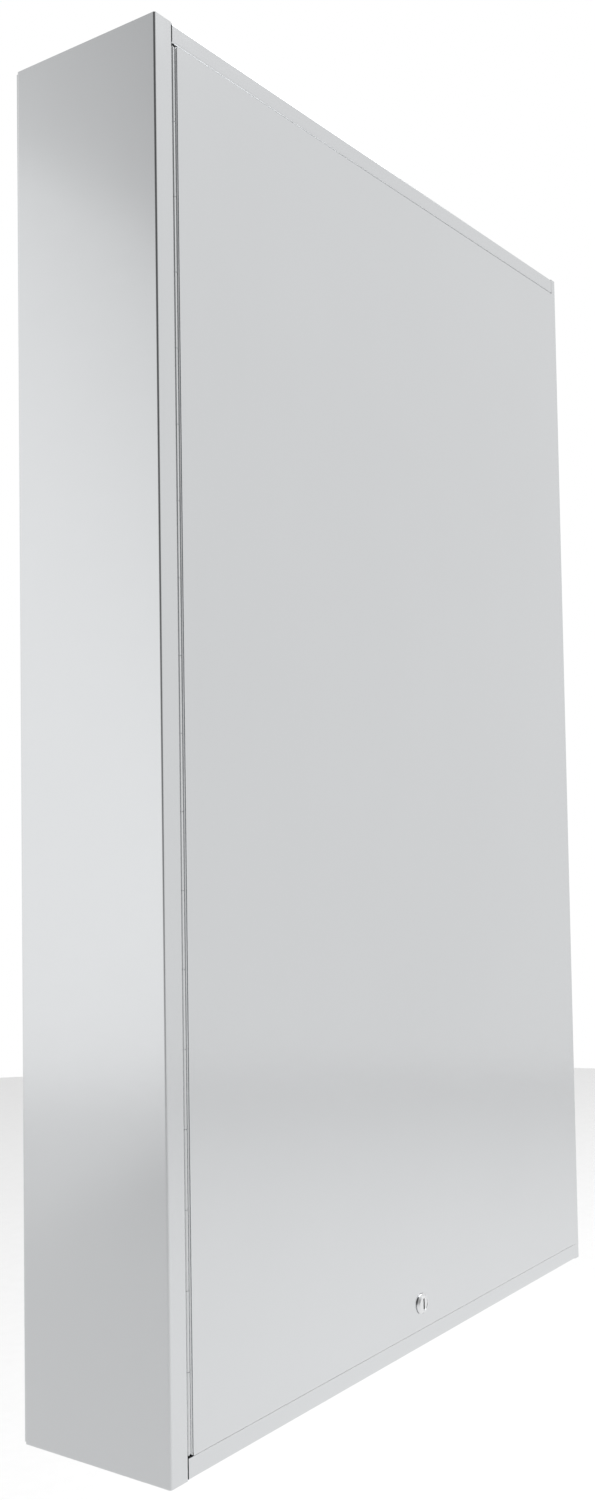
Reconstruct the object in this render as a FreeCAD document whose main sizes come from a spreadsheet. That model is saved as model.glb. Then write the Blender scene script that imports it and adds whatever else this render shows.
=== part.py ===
import FreeCAD, Part
import math
import os
import re
import Sketcher

# Wall-mounted steel medicine cabinet with a mirror door on a continuous hinge and a keyed cam lock.
# Millimetres. Origin: centre of the back face, on the wall. +X to the viewer's right, +Y into the
# wall, +Z up. The front of the cabinet faces -Y.

DIMENSIONS = {
    # Overall size
    "width": 600,
    "height": 950,
    "depth": 130,
    # Sheet metal of the cabinet
    "sheet_gauge": 1.0,
    "bend_outer": 1.6,
    "bend_inner": 0.6,
    "return_bend_outer": 1.2,
    "return_bend_inner": 0.2,
    "tight_bend_outer": 0.5,
    "seam_gap": 0.35,
    "back_inset": 1.0,
    "stile_hinge": 17.3,
    "stile_free": 8.4,
    "rail_height": 13.6,
    "return_depth": 16.0,
    "rear_flange": 8.0,
    "stop_flange": 8.0,
    # Wall fixing holes
    "fixing_radius": 4.0,
    "fixing_spacing_wide": 480,
    "fixing_spacing_tall": 800,
    # Door
    "hinge_gap": 3.4,
    "door_gap": 0.7,
    "door_gap_top": 1.0,
    "door_gap_bottom": 0.4,
    "door_proud": 0.7,
    "door_depth": 12.0,
    "mirror_gauge": 0.7,
    "mirror_margin": 0.2,
    "mirror_margin_hinge": 0.9,
    "mirror_corner": 1.0,
    "pan_bend": 1.0,
    "pan_corner": 1.6,
    "pan_gauge": 0.8,
    "liner_gauge": 0.8,
    "liner_margin": 0.6,
    "pan_flange": 11.0,
    "stiffener_width": 30.0,
    "stiffener_length": 880,
    "stiffener_offset": 125,
    # Continuous hinge
    "hinge_length": 918,
    "knuckle_count": 18,
    "knuckle_gap": 0.3,
    "barrel_radius": 1.5,
    "notch_clearance": 0.35,
    "pin_radius": 0.8,
    "pin_clearance": 0.05,
    "pin_overhang": 1.0,
    "leaf_gauge": 0.5,
    "leaf_depth": 8.4,
    "axis_setback": 1.4,
    "rivet_setback": 5.2,
    # Blind rivets
    "rivet_head_radius": 2.4,
    "rivet_head_height": 0.7,
    "rivet_head_round": 0.5,
    "rivet_shank_radius": 1.3,
    "rivet_bulb_radius": 1.9,
    "rivet_bulb_height": 1.9,
    "liner_rivet_inset": 5.8,
    "liner_rivet_corner": 40,
    "liner_rivet_middle": 150,
    "liner_rivet_side": 140,
    # Rubber buffers
    "bumper_radius": 3.5,
    "bumper_height": 3.4,
    "bumper_round": 0.8,
    "bumper_spacing": 300,
    # Shelf standards
    "standard_gauge": 0.8,
    "standard_rise": 5.0,
    "standard_channel": 14.0,
    "standard_foot": 4.0,
    "standard_length": 880,
    "standard_front_setback": 42,
    "standard_rear_setback": 106,
    "slot_width": 3.0,
    "slot_height": 8.0,
    "slot_pitch": 25,
    "slot_count": 35,
    # Shelves and clips
    "shelf_gauge": 5.0,
    "shelf_depth": 100,
    "shelf_rear_gap": 6.0,
    "shelf_end_gap": 1.0,
    "shelf_corner": 4.0,
    "shelf_edge": 0.8,
    "shelf_first_slot": 5,
    "shelf_slot_step": 8,
    "clip_width": 12.0,
    "clip_gauge": 1.2,
    "clip_reach": 12.0,
    "clip_seat_rise": 6.0,
    "clip_plate_drop": 8.0,
    "clip_tongue_width": 2.6,
    "clip_tongue_height": 4.0,
    "clip_nib_drop": 4.0,
    "clip_nib_gauge": 1.6,
    # Cam lock, measured from the front of its dome
    "lock_rise": 34.0,
    "lock_dome": 2.4,
    "lock_rim": 0.7,
    "lock_undercut": 0.35,
    "lock_flange_radius": 8.0,
    "lock_face_radius": 6.3,
    "lock_body_radius": 6.0,
    "lock_body_length": 19.2,
    "lock_flat": 5.3,
    "lock_bore_clearance": 0.06,
    "lock_hole_clearance": 0.1,
    "plug_head_radius": 5.2,
    "plug_head_length": 3.0,
    "plug_recess": 0.2,
    "plug_radius": 4.7,
    "plug_length": 19.7,
    "plug_square": 6.0,
    "keyway_width": 1.8,
    "keyway_height": 8.4,
    "keyway_depth": 10.0,
    "washer_radius": 8.2,
    "washer_gauge": 0.7,
    "nut_radius": 8.8,
    "nut_height": 2.9,
    "cam_gauge": 2.0,
    "cam_radius": 6.5,
    "cam_reach": 30.0,
    "cam_screw_radius": 2.0,
    "cam_screw_length": 8.0,
    "cam_screw_head_radius": 4.2,
    "cam_screw_head_height": 2.2,
    "cam_screw_slot_width": 1.2,
    "cam_screw_slot_depth": 1.0,
}

SHELF_COUNT = 4
SHEET_NAME = "Dims"
TOLERANCE = 1e-6
HALF_TURN_Y = FreeCAD.Rotation(FreeCAD.Vector(0, 1, 0), 180)
HALF_TURN_Z = FreeCAD.Rotation(FreeCAD.Vector(0, 0, 1), 180)
NO_TURN = FreeCAD.Rotation()
# Turns local +Z to point into the wall, for parts drawn about an upright axis
AXIS_TO_WALL = FreeCAD.Rotation(FreeCAD.Vector(1, 0, 0), -90)
# Turns local +Z to +X or to -X, for the rivets of the hinge
AXIS_TO_RIGHT = FreeCAD.Rotation(FreeCAD.Vector(0, 1, 0), 90)
AXIS_TO_LEFT = FreeCAD.Rotation(FreeCAD.Vector(0, 1, 0), -90)
# Turns local +Z to point out of the wall
AXIS_TO_FRONT = FreeCAD.Rotation(FreeCAD.Vector(1, 0, 0), 90)

doc = FreeCAD.newDocument("MedicineCabinet")
sheet = doc.addObject("Spreadsheet::Sheet", SHEET_NAME)
for row, (alias, value) in enumerate(DIMENSIONS.items(), start=1):
    sheet.set("A%d" % row, alias)
    sheet.set("B%d" % row, str(value))
    sheet.setAlias("B%d" % row, alias)
doc.recompute()

# Derived lengths, as expressions of the sheet's cells
DOOR_WIDTH = "(width - stile_hinge - stile_free - hinge_gap - door_gap)"
DOOR_HEIGHT = "(height - 2 * rail_height - door_gap_top - door_gap_bottom)"
DOOR_LEFT = "(stile_hinge + hinge_gap - width / 2)"
DOOR_BOTTOM = "(rail_height + door_gap_bottom - height / 2)"
DOOR_CENTRE = "(%s + %s / 2)" % (DOOR_LEFT, DOOR_WIDTH)
SHELL_DEPTH = "(depth - back_inset)"
PAN_DEPTH = "(door_depth - mirror_gauge - liner_gauge)"
HINGE_X = "(stile_hinge + hinge_gap / 2 - width / 2)"
HINGE_Y = "(axis_setback - depth)"
KNUCKLE_PITCH = "(hinge_length / knuckle_count)"
LOCK_Z = "(lock_rise - height / 2)"
DOOR_FRONT = "(0 - depth - door_proud)"
LINER_REAR = "(door_depth - depth - door_proud)"
STANDARD_WIDTH = "(standard_channel + 2 * standard_foot)"
FIRST_SLOT_Z = "(0 - slot_pitch * (slot_count - 1) / 2)"


def bound(text):
    """Point each alias in an expression at its cell in the sheet."""
    return re.sub(r"[a-z][a-z_]*", lambda m: SHEET_NAME + "." + m.group(0), text)


def number(text):
    """The value of an expression of aliases."""
    result = sheet.evalExpression(bound(text))
    return float(getattr(result, "Value", result))


def origin_item(body, role):
    """A body's own origin plane or axis."""
    return next(item for item in body.Origin.OriginFeatures if item.Role == role)


def place(obj, x, y, z, rotation=NO_TURN):
    """Set an object's rotation and bind its position to the sheet."""
    obj.Placement = FreeCAD.Placement(FreeCAD.Vector(number(x), number(y), number(z)), rotation)
    obj.setExpression("Placement.Base.x", bound(x))
    obj.setExpression("Placement.Base.y", bound(y))
    obj.setExpression("Placement.Base.z", bound(z))


def new_body(label):
    body = doc.addObject("PartDesign::Body", label)
    body.Label = label
    return body


def new_sketch(body, name, plane, offset=None):
    """A sketch on one of the body's origin planes, moved along the plane's normal by offset."""
    sketch = body.newObject("Sketcher::SketchObject", name)
    sketch.AttachmentSupport = (origin_item(body, plane), [""])
    sketch.MapMode = "FlatFace"
    if offset is not None:
        sketch.setExpression("AttachmentOffset.Base.z", bound(offset))
    return sketch


def hold(sketch, kind, geometry, point, text):
    """Dimension a point from the sketch's origin along one axis, bound to the sheet."""
    value = number(text)
    if abs(value) < TOLERANCE:
        axis = -2 if kind == "DistanceX" else -1
        sketch.addConstraint(Sketcher.Constraint("PointOnObject", geometry, point, axis))
        return
    index = sketch.addConstraint(Sketcher.Constraint(kind, -1, 1, geometry, point, value))
    sketch.setExpression("Constraints[%d]" % index, bound(text))


def add_outline(sketch, corners):
    """Close an outline of level and upright lines through the corners."""
    points = [FreeCAD.Vector(number(u), number(v), 0) for u, v in corners]
    count = len(points)
    lines = []
    for i, start in enumerate(points):
        segment = Part.LineSegment(start, points[(i + 1) % count])
        lines.append(sketch.addGeometry(segment, False))
    for i, line in enumerate(lines):
        following = lines[(i + 1) % count]
        sketch.addConstraint(Sketcher.Constraint("Coincident", line, 2, following, 1))
    for i, line in enumerate(lines):
        step = points[(i + 1) % count] - points[i]
        if abs(step.x) < TOLERANCE:
            sketch.addConstraint(Sketcher.Constraint("Vertical", line))
            hold(sketch, "DistanceX", line, 1, corners[i][0])
        else:
            sketch.addConstraint(Sketcher.Constraint("Horizontal", line))
            hold(sketch, "DistanceY", line, 1, corners[i][1])


def add_rectangle(sketch, low_u, low_v, high_u, high_v):
    add_outline(sketch, [(low_u, low_v), (high_u, low_v), (high_u, high_v), (low_u, high_v)])


def add_circle(sketch, u, v, radius):
    centre = FreeCAD.Vector(number(u), number(v), 0)
    circle = Part.Circle(centre, FreeCAD.Vector(0, 0, 1), number(radius))
    index = sketch.addGeometry(circle, False)
    hold(sketch, "DistanceX", index, 3, u)
    hold(sketch, "DistanceY", index, 3, v)
    size = sketch.addConstraint(Sketcher.Constraint("Radius", index, number(radius)))
    sketch.setExpression("Constraints[%d]" % size, bound(radius))


def extrude(body, kind, name, sketch, length, backward=False):
    """A Pad or Pocket of the sketch whose length is bound to the sheet."""
    feature = body.newObject("PartDesign::" + kind, name)
    feature.Profile = sketch
    feature.Length = number(length)
    feature.setExpression("Length", bound(length))
    feature.Reversed = backward
    sketch.Visibility = False
    body.Tip = feature
    doc.recompute()
    return feature


def pattern(body, name, feature, role, length, occurrences):
    """Repeat a feature along one of the body's axes."""
    repeat = body.newObject("PartDesign::LinearPattern", name)
    repeat.Originals = [feature]
    repeat.Direction = (origin_item(body, role), [""])
    repeat.setExpression("Length", bound(length))
    repeat.setExpression("Occurrences", bound(occurrences))
    body.Tip = repeat
    doc.recompute()
    return repeat


def edges_through(shape, axis, spots):
    """Names of the edges parallel to an axis that pass through the given pairs of coordinates."""
    others = [i for i in range(3) if i != axis]
    found = []
    for index, edge in enumerate(shape.Edges, start=1):
        if len(edge.Vertexes) != 2:
            continue
        ends = [vertex.Point for vertex in edge.Vertexes]
        for spot in spots:
            gaps = [abs(end[k] - value) for end in ends for k, value in zip(others, spot)]
            if max(gaps) < 1e-4:
                found.append("Edge%d" % index)
    return found


def edges_where(shape, test):
    """Names of the edges that pass a test."""
    return ["Edge%d" % index for index, edge in enumerate(shape.Edges, start=1) if test(edge)]


def fillet_edges(body, name, base, names, radius):
    """Fillet the named edges of the body's last feature with a bound radius."""
    fillet = body.newObject("PartDesign::Fillet", name)
    fillet.Base = (base, names)
    fillet.Radius = number(radius)
    fillet.setExpression("Radius", bound(radius))
    body.Tip = fillet
    doc.recompute()
    return fillet


def round_edges(body, name, axis, spots, radius):
    """Fillet the edges parallel to an axis at the given pairs of expressions."""
    base = body.Tip
    values = [[number(u), number(v)] for u, v in spots]
    names = edges_through(base.Shape, axis, values)
    if len(names) < len(spots):
        raise RuntimeError("%s: only %d of %d edges found" % (name, len(names), len(spots)))
    return fillet_edges(body, name, base, names, radius)


def box(name, x, y, z):
    """A Part box between pairs of expressions."""
    solid = doc.addObject("Part::Box", name)
    for prop, (low, high) in zip(("Length", "Width", "Height"), (x, y, z)):
        solid.setExpression(prop, bound("(%s) - (%s)" % (high, low)))
    place(solid, x[0], y[0], z[0])
    return solid


def cylinder(name, radius, height, z="0"):
    """A Part cylinder on the local Z axis."""
    solid = doc.addObject("Part::Cylinder", name)
    solid.setExpression("Radius", bound(radius))
    solid.setExpression("Height", bound(height))
    place(solid, "0", "0", z)
    return solid


def fuse(name, solids):
    union = doc.addObject("Part::MultiFuse", name)
    union.Shapes = solids
    return union


def cut(name, base, tool):
    difference = doc.addObject("Part::Cut", name)
    difference.Base = base
    difference.Tool = tool
    return difference


def group_of(label, source, spots):
    """Separate copies of one solid, each at its own bound position, in one compound."""
    copies = []
    for i, (x, y, z, rotation) in enumerate(spots):
        copy = doc.addObject("App::Link", "%s_copy_%d" % (label, i + 1))
        copy.LinkedObject = source
        copy.LinkTransform = False
        place(copy, x, y, z, rotation)
        copies.append(copy)
    compound = doc.addObject("Part::Compound", label)
    compound.Label = label
    compound.Links = copies
    return compound


# Cabinet shell -----------------------------------------------------------------------------------

def side_panel(label, stile, return_bend, rotation, x, z, stop):
    """Side sheet: rear flange, side, front stile and its inward return, with an optional door stop."""
    body = new_body(label)
    profile = new_sketch(body, label + "_profile", "XY_Plane")
    inner = "(%s - sheet_gauge)" % stile
    front = [("0", "0"), (stile, "0")]
    if stop:
        front += [
            (stile, "return_depth - sheet_gauge"),
            (stile + " + stop_flange", "return_depth - sheet_gauge"),
            (stile + " + stop_flange", "return_depth"),
        ]
    else:
        front += [(stile, "return_depth")]
    rear = [
        (inner, "return_depth"),
        (inner, "sheet_gauge"),
        ("sheet_gauge", "sheet_gauge"),
        ("sheet_gauge", SHELL_DEPTH + " - sheet_gauge"),
        ("rear_flange", SHELL_DEPTH + " - sheet_gauge"),
        ("rear_flange", SHELL_DEPTH),
        ("0", SHELL_DEPTH),
    ]
    add_outline(profile, front + rear)
    extrude(body, "Pad", label + "_pad", profile, "height")
    outer = [("0", "0"), ("0", SHELL_DEPTH)]
    round_edges(body, label + "_outer_bends", 2, outer, "bend_outer")
    round_edges(body, label + "_return_bend", 2, [(stile, "0")], return_bend)
    round_edges(body, label + "_return_fold", 2, [(inner, "sheet_gauge")], "return_bend_inner")
    folds = [
        ("sheet_gauge", "sheet_gauge"),
        ("sheet_gauge", SHELL_DEPTH + " - sheet_gauge"),
    ]
    round_edges(body, label + "_inner_bends", 2, folds, "bend_inner")
    # The top and bottom sheets lie in notches at the ends
    for end, level in (("top", "height"), ("bottom", "sheet_gauge")):
        notch = new_sketch(body, "%s_%s_notch" % (label, end), "XY_Plane", level)
        reach = stile + " + stop_flange + sheet_gauge"
        add_rectangle(notch, "sheet_gauge", "sheet_gauge", reach, "depth")
        extrude(body, "Pocket", "%s_%s_notch_cut" % (label, end), notch, "sheet_gauge")
    if stop:
        # The stop flange ends at the returns of the rails
        for end, level in (("top", "height"), ("bottom", "rail_height")):
            relief = new_sketch(body, "%s_%s_relief" % (label, end), "XY_Plane", level)
            reach = stile + " + stop_flange + sheet_gauge"
            add_rectangle(relief, stile, "sheet_gauge", reach, "return_depth + sheet_gauge")
            extrude(body, "Pocket", "%s_%s_relief_cut" % (label, end), relief, "rail_height")
    else:
        # Rivet holes for the hinge in the return
        holes = new_sketch(body, label + "_rivet_hole", "YZ_Plane", stile)
        first = "(height - hinge_length) / 2 + %s / 2" % KNUCKLE_PITCH
        add_circle(holes, "axis_setback + rivet_setback", first, "rivet_shank_radius")
        hole = extrude(body, "Pocket", label + "_rivet_hole_cut", holes, "2 * sheet_gauge")
        span = "%s * (knuckle_count - 2)" % KNUCKLE_PITCH
        pattern(body, label + "_rivet_holes", hole, "Z_Axis", span, "knuckle_count / 2")
    place(body, x, "0 - depth", z, rotation)
    return body


def end_panel(label, first_stile, last_stile, return_bend, rotation, x, z):
    """Top or bottom sheet: rear flange, plate, front rail between the stiles and its return."""
    body = new_body(label)
    profile = new_sketch(body, label + "_profile", "YZ_Plane",
                         first_stile + " - sheet_gauge + seam_gap")
    add_outline(profile, [
        ("0", "0"),
        (SHELL_DEPTH, "0"),
        (SHELL_DEPTH, "rear_flange"),
        (SHELL_DEPTH + " - sheet_gauge", "rear_flange"),
        (SHELL_DEPTH + " - sheet_gauge", "sheet_gauge"),
        ("sheet_gauge", "sheet_gauge"),
        ("sheet_gauge", "rail_height - sheet_gauge"),
        ("return_depth", "rail_height - sheet_gauge"),
        ("return_depth", "rail_height"),
        ("0", "rail_height"),
    ])
    extrude(body, "Pad", label + "_pad", profile,
            "width - stile_hinge - stile_free - 2 * seam_gap")
    round_edges(body, label + "_outer_bend", 0, [("0", "0")], "bend_outer")
    round_edges(body, label + "_return_bend", 0, [("0", "rail_height")], return_bend)
    inner = [("sheet_gauge", "sheet_gauge")]
    round_edges(body, label + "_inner_bend", 0, inner, "bend_inner")
    fold = [("sheet_gauge", "rail_height - sheet_gauge")]
    round_edges(body, label + "_return_fold", 0, fold, "return_bend_inner")
    plate = new_sketch(body, label + "_plate", "XY_Plane")
    for low, high in (("0", first_stile + " - sheet_gauge + seam_gap"),
                      ("width - sheet_gauge - seam_gap - " + last_stile,
                       "width - 2 * sheet_gauge")):
        add_rectangle(plate, low, "sheet_gauge", high, SHELL_DEPTH)
    extrude(body, "Pad", label + "_plate_pad", plate, "sheet_gauge")
    place(body, x, "0 - depth", z, rotation)
    return body


LEFT = "(0 - width / 2)"
RIGHT = "(width / 2)"
BASE = "(0 - height / 2)"
CROWN = "(height / 2)"
side_hinge = side_panel("side_panel_hinge", "stile_hinge", "return_bend_outer", NO_TURN,
                        LEFT, BASE, False)
side_free = side_panel("side_panel_free", "stile_free", "tight_bend_outer", HALF_TURN_Y,
                       RIGHT, CROWN, True)
bottom = end_panel("bottom_panel", "stile_hinge", "stile_free", "tight_bend_outer", NO_TURN,
                   LEFT + " + sheet_gauge", BASE)
top = end_panel("top_panel", "stile_free", "stile_hinge", "bend_outer", HALF_TURN_Y,
                RIGHT + " - sheet_gauge", CROWN)

back = new_body("back_panel")
back_outline = new_sketch(back, "back_outline", "XZ_Plane")
add_rectangle(back_outline, "0", "0", "width - 2 * back_inset", "height - 2 * back_inset")
extrude(back, "Pad", "back_pad", back_outline, "sheet_gauge", backward=True)
back_holes = new_sketch(back, "back_fixing_holes", "XZ_Plane")
for side in ("-", "+"):
    for level in ("-", "+"):
        add_circle(back_holes,
                   "width / 2 - back_inset %s fixing_spacing_wide / 2" % side,
                   "height / 2 - back_inset %s fixing_spacing_tall / 2" % level,
                   "fixing_radius")
extrude(back, "Pocket", "back_fixing_cut", back_holes, "sheet_gauge")
place(back, "back_inset - width / 2", "0 - sheet_gauge", "back_inset - height / 2")


# Shelf standards, shelves and clips --------------------------------------------------------------

def shelf_standard(label, x, y, rotation):
    """Hat-section upright with a row of slots in its face."""
    body = new_body(label)
    near = "standard_foot"
    far = "standard_foot + standard_channel"
    profile = new_sketch(body, label + "_profile", "XY_Plane")
    add_outline(profile, [
        ("0", "0"),
        ("standard_gauge", "0"),
        ("standard_gauge", near),
        ("standard_rise", near),
        ("standard_rise", far),
        ("standard_gauge", far),
        ("standard_gauge", STANDARD_WIDTH),
        ("0", STANDARD_WIDTH),
        ("0", far + " - standard_gauge"),
        ("standard_rise - standard_gauge", far + " - standard_gauge"),
        ("standard_rise - standard_gauge", near + " + standard_gauge"),
        ("0", near + " + standard_gauge"),
    ])
    extrude(body, "Pad", label + "_pad", profile, "standard_length")
    slot = new_sketch(body, label + "_slot", "YZ_Plane", "standard_rise + standard_gauge")
    low = "standard_length / 2 + %s - slot_height / 2" % FIRST_SLOT_Z
    middle = "%s / 2" % STANDARD_WIDTH
    add_rectangle(slot, middle + " - slot_width / 2", low,
                  middle + " + slot_width / 2", low + " + slot_height")
    opening = extrude(body, "Pocket", label + "_slot_cut", slot, "3 * standard_gauge")
    pattern(body, label + "_slots", opening, "Z_Axis", "slot_pitch * (slot_count - 1)", "slot_count")
    place(body, x, y, "0 - standard_length / 2", rotation)
    return body


standards = []
for depth_name in ("front", "rear"):
    setback = "standard_%s_setback - depth" % depth_name
    standards.append(shelf_standard("standard_hinge_" + depth_name, LEFT + " + sheet_gauge",
                                    "%s - %s / 2" % (setback, STANDARD_WIDTH), NO_TURN))
    standards.append(shelf_standard("standard_free_" + depth_name, RIGHT + " - sheet_gauge",
                                    "%s + %s / 2" % (setback, STANDARD_WIDTH), HALF_TURN_Z))

FACE_X = "(width / 2 - sheet_gauge - standard_rise)"


def slot_level(index):
    """Height of the slot that carries a shelf, counted from the lowest shelf."""
    return "%s + slot_pitch * (shelf_first_slot + shelf_slot_step * %d)" % (FIRST_SLOT_Z, index)


shelves = []
for i in range(SHELF_COUNT):
    label = "shelf_%d" % (i + 1)
    shelf = new_body(label)
    length = "(2 * %s - 2 * shelf_end_gap)" % FACE_X
    outline = new_sketch(shelf, label + "_outline", "XY_Plane")
    add_rectangle(outline, "0", "0", length, "shelf_depth")
    extrude(shelf, "Pad", label + "_pad", outline, "shelf_gauge")
    corners = [("0", "0"), (length, "0"), ("0", "shelf_depth"), (length, "shelf_depth")]
    round_edges(shelf, label + "_corners", 2, corners, "shelf_corner")
    rims = [("0", "0"), ("0", "shelf_gauge"), ("shelf_depth", "0"), ("shelf_depth", "shelf_gauge")]
    round_edges(shelf, label + "_edges", 0, rims, "shelf_edge")
    place(shelf, "0 - %s / 2" % length, "0 - shelf_rear_gap - shelf_depth",
          slot_level(i) + " + clip_seat_rise")
    shelves.append(shelf)

# One clip, drawn at the face of a standard with its slot at the origin
HALF_CLIP = "clip_width / 2"
TONGUE_FOOT = "(0 - slot_height / 2)"
clip = fuse("clip", [
    box("clip_plate", ("0", "clip_gauge"), ("0 - " + HALF_CLIP, HALF_CLIP),
        ("0 - clip_plate_drop", "clip_seat_rise")),
    box("clip_seat", ("0", "clip_reach"), ("0 - " + HALF_CLIP, HALF_CLIP),
        ("clip_seat_rise - clip_gauge", "clip_seat_rise")),
    box("clip_tongue", ("0 - standard_gauge - clip_nib_gauge", "clip_gauge"),
        ("0 - clip_tongue_width / 2", "clip_tongue_width / 2"),
        (TONGUE_FOOT, TONGUE_FOOT + " + clip_tongue_height")),
    box("clip_nib", ("0 - standard_gauge - clip_nib_gauge", "0 - standard_gauge"),
        ("0 - clip_tongue_width / 2", "clip_tongue_width / 2"),
        (TONGUE_FOOT + " - clip_nib_drop", TONGUE_FOOT + " + clip_tongue_height")),
])
clip_spots = []
for i in range(SHELF_COUNT):
    for depth_name in ("front", "rear"):
        y = "standard_%s_setback - depth" % depth_name
        clip_spots.append(("0 - " + FACE_X, y, slot_level(i), NO_TURN))
        clip_spots.append((FACE_X, y, slot_level(i), HALF_TURN_Z))
clips = group_of("shelf_clips", clip, clip_spots)


# Continuous hinge --------------------------------------------------------------------------------

def hinge_leaf(label, bore, rotation, z):
    """Leaf with every other knuckle, drawn about the hinge axis with the leaf on the +X side."""
    body = new_body(label)
    plate = new_sketch(body, label + "_plate", "XY_Plane")
    add_rectangle(plate, "hinge_gap / 2 - leaf_gauge", "0", "hinge_gap / 2", "leaf_depth")
    extrude(body, "Pad", label + "_plate_pad", plate, "hinge_length")
    barrel = new_sketch(body, label + "_barrel", "XY_Plane")
    add_circle(barrel, "0", "0", "barrel_radius")
    extrude(body, "Pad", label + "_barrel_pad", barrel, "hinge_length")
    hollow = new_sketch(body, label + "_bore", "XY_Plane", "hinge_length")
    add_circle(hollow, "0", "0", bore)
    extrude(body, "Pocket", label + "_bore_cut", hollow, "hinge_length")
    # Room for the other leaf's knuckles
    notch = new_sketch(body, label + "_notch", "XY_Plane", KNUCKLE_PITCH + " + knuckle_gap / 2")
    add_circle(notch, "0", "0", "barrel_radius + notch_clearance")
    gap = extrude(body, "Pocket", label + "_notch_cut", notch, KNUCKLE_PITCH + " + knuckle_gap")
    span = "%s * (knuckle_count - 2)" % KNUCKLE_PITCH
    pattern(body, label + "_notches", gap, "Z_Axis", span, "knuckle_count / 2")
    holes = new_sketch(body, label + "_rivet_hole", "YZ_Plane", "hinge_gap / 2")
    add_circle(holes, "rivet_setback", "1.5 * " + KNUCKLE_PITCH, "rivet_shank_radius")
    hole = extrude(body, "Pocket", label + "_rivet_hole_cut", holes, "leaf_gauge")
    pattern(body, label + "_rivet_holes", hole, "Z_Axis", span, "knuckle_count / 2")
    place(body, HINGE_X, HINGE_Y, z, rotation)
    return body


leaf_door = hinge_leaf("hinge_leaf_door", "pin_radius + pin_clearance", NO_TURN,
                       "0 - hinge_length / 2")
leaf_frame = hinge_leaf("hinge_leaf_frame", "pin_radius", HALF_TURN_Y, "hinge_length / 2")
pin = cylinder("hinge_pin", "pin_radius", "hinge_length + 2 * pin_overhang")
place(pin, HINGE_X, HINGE_Y, "0 - hinge_length / 2 - pin_overhang")


def rivet(label, stack):
    """Blind rivet about local Z: head below the origin plane, shank through the stack, then bulb."""
    body = new_body(label)
    half = new_sketch(body, label + "_half", "XZ_Plane")
    head = "rivet_head_height"
    stack_end = "%s + %s" % (head, stack)
    add_outline(half, [
        ("0", "0"),
        ("rivet_head_radius", "0"),
        ("rivet_head_radius", head),
        ("rivet_shank_radius", head),
        ("rivet_shank_radius", stack_end),
        ("rivet_bulb_radius", stack_end),
        ("rivet_bulb_radius", stack_end + " + rivet_bulb_height"),
        ("0", stack_end + " + rivet_bulb_height"),
    ])
    turned = body.newObject("PartDesign::Revolution", label + "_turned")
    turned.Profile = half
    turned.ReferenceAxis = (half, ["V_Axis"])
    turned.Angle = 360
    body.Tip = turned
    doc.recompute()
    rim = edges_where(turned.Shape, lambda edge: edge.Closed and abs(edge.BoundBox.ZMax) < 1e-4)
    fillet_edges(body, label + "_dome", turned, rim, "rivet_head_round")
    return body


def hinge_rivet_level(knuckle):
    return "0 - hinge_length / 2 + %s * (%d + 0.5)" % (KNUCKLE_PITCH, knuckle)


knuckles = int(number("knuckle_count"))
LEAF_FACE = "hinge_gap / 2 - leaf_gauge - rivet_head_height"
rivet_y = HINGE_Y + " + rivet_setback"
frame_rivet = rivet("frame_rivet", "leaf_gauge + sheet_gauge")
frame_spots = []
for k in range(0, knuckles, 2):
    x = "%s - (%s)" % (HINGE_X, LEAF_FACE)
    frame_spots.append((x, rivet_y, hinge_rivet_level(k), AXIS_TO_LEFT))
rivets_frame = group_of("hinge_rivets_frame", frame_rivet, frame_spots)

door_rivet = rivet("door_rivet", "leaf_gauge + pan_gauge")
door_spots = []
for k in range(1, knuckles, 2):
    x = "%s + (%s)" % (HINGE_X, LEAF_FACE)
    door_spots.append((x, rivet_y, hinge_rivet_level(k), AXIS_TO_RIGHT))
rivets_door = group_of("hinge_rivets_door", door_rivet, door_spots)


# Door --------------------------------------------------------------------------------------------

# Centres of the liner's rivets, from the door's lower hinge-side corner
LINER_RIVETS = []
for column in ("liner_rivet_inset", DOOR_WIDTH + " - liner_rivet_inset"):
    LINER_RIVETS.append((column, "liner_rivet_corner"))
    LINER_RIVETS.append((column, DOOR_HEIGHT + " / 2 - liner_rivet_middle"))
    LINER_RIVETS.append((column, DOOR_HEIGHT + " / 2 + liner_rivet_middle"))
    LINER_RIVETS.append((column, DOOR_HEIGHT + " - liner_rivet_corner"))
for level in ("liner_rivet_inset", DOOR_HEIGHT + " - liner_rivet_inset"):
    LINER_RIVETS.append((DOOR_WIDTH + " / 2 - liner_rivet_side", level))
    LINER_RIVETS.append((DOOR_WIDTH + " / 2 + liner_rivet_side", level))
LOCK_LOCAL_Z = "lock_rise - rail_height - door_gap_bottom"


def add_lock_hole(body, label, inset, rise, length):
    """Round hole for the lock body, in a sheet whose corner is inset and rise inside the door's."""
    hole = new_sketch(body, label + "_lock_hole", "XZ_Plane")
    add_circle(hole, DOOR_WIDTH + " / 2 - " + inset, "%s - %s" % (LOCK_LOCAL_Z, rise),
               "lock_body_radius + lock_hole_clearance")
    extrude(body, "Pocket", label + "_lock_hole_cut", hole, length)


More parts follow.
